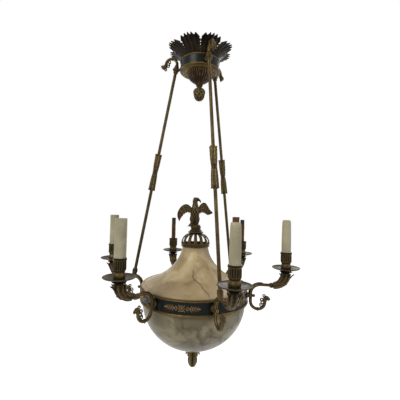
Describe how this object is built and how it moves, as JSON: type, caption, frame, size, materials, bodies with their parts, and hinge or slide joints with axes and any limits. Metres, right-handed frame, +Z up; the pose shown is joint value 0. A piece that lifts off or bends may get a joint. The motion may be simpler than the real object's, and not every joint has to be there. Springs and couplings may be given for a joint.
{
  "type": "chandelier",
  "caption": "Hanging chandelier: leaf crown, leaning rods, covered alabaster bowl in a banded ring with an eagle on its lid, and scrolled candle arms with drip pans.",
  "frame": {"origin": "centre of the hook hole in the hanging eye, on the chandelier's axis", "axes": "+Z up along the axis, -Y is the pictured front that the eagle faces, +X to the right of that front"},
  "size_m": [0.5618, 0.5438, 0.9375],
  "materials": {
    "bronze": "aged olive-brown bronze with worn gilt highlights",
    "dark_bronze": "nearly black patinated bronze",
    "gilt": "worn gilt bronze",
    "painted_green": "glossy black-green paint",
    "alabaster_lid": "polished warm alabaster with cloudy veins",
    "alabaster_bowl": "polished grey-tan alabaster with dark clouds",
    "ivory": "ivory candle sleeve, slightly soiled",
    "brown_tube": "rust-brown tube",
    "steel": "dark plain steel",
    "felt": "felt washer"
  },
  "bodies": {
    "hanger": {"hanger_eye": "steel"},
    "chandelier": {"arm_1": "bronze", "arm_2": "bronze", "arm_3": "bronze", "arm_4": "bronze", "arm_5": "bronze", "arm_6": "bronze", "arm_bolts": "gilt", "band_bottom_rim": "gilt", "band_ornaments": "gilt", "band_top_rim": "gilt", "bowl": "alabaster_bowl", "bowl_band": "painted_green", "bowl_finial": "bronze", "bowl_rod": "steel", "bowl_spider": "steel", "bowl_washers": "felt", "candle_cup_1": "bronze", "candle_cup_2": "bronze", "candle_cup_3": "bronze", "candle_cup_4": "bronze", "candle_cup_5": "bronze", "candle_cup_6": "bronze", "candle_tubes": "brown_tube", "crook_1": "bronze", "crook_2": "bronze", "crook_3": "bronze", "crown_acorn": "bronze", "crown_band": "painted_green", "crown_base": "gilt", "crown_bell": "dark_bronze", "crown_leaves": "dark_bronze", "crown_lugs": "bronze", "crown_stem": "steel", "crown_top_ring": "gilt", "drip_pan_1": "bronze", "drip_pan_2": "bronze", "drip_pan_3": "bronze", "drip_pan_4": "bronze", "drip_pan_5": "bronze", "drip_pan_6": "bronze", "hanger_rod_1": "bronze", "hanger_rod_2": "bronze", "hanger_rod_3": "bronze", "hex_nuts": "steel", "horn_1": "bronze", "horn_2": "bronze", "horn_3": "bronze", "horn_4": "bronze", "horn_5": "bronze", "horn_6": "bronze", "rod_sleeves": "bronze", "swing_pin": "steel"},
    "lid": {"lid": "alabaster_lid", "gallery": "bronze", "eagle": "bronze"},
    "candle_sleeve_1": {"candle_sleeve_1": "ivory"},
    "candle_sleeve_2": {"candle_sleeve_2": "ivory"},
    "candle_sleeve_5": {"candle_sleeve_5": "ivory"},
    "candle_sleeve_6": {"candle_sleeve_6": "ivory"}
  },
  "joints": [
    {"name": "swing", "type": "hinge", "parent": "hanger", "child": "chandelier", "pos_m": [0, 0, -0.024], "axis": [0, 1, 0], "range_deg": [-8, 8]},
    {"name": "lid_lift", "type": "slide", "parent": "chandelier", "child": "lid", "axis": [0, 0, 1], "range_m": [0, 0.14]},
    {"name": "sleeve_1_lift", "type": "slide", "parent": "chandelier", "child": "candle_sleeve_1", "axis": [0, 0, 1], "range_m": [0, 0.11]},
    {"name": "sleeve_2_lift", "type": "slide", "parent": "chandelier", "child": "candle_sleeve_2", "axis": [0, 0, 1], "range_m": [0, 0.11]},
    {"name": "sleeve_5_lift", "type": "slide", "parent": "chandelier", "child": "candle_sleeve_5", "axis": [0, 0, 1], "range_m": [0, 0.11]},
    {"name": "sleeve_6_lift", "type": "slide", "parent": "chandelier", "child": "candle_sleeve_6", "axis": [0, 0, 1], "range_m": [0, 0.11]}
  ]
}
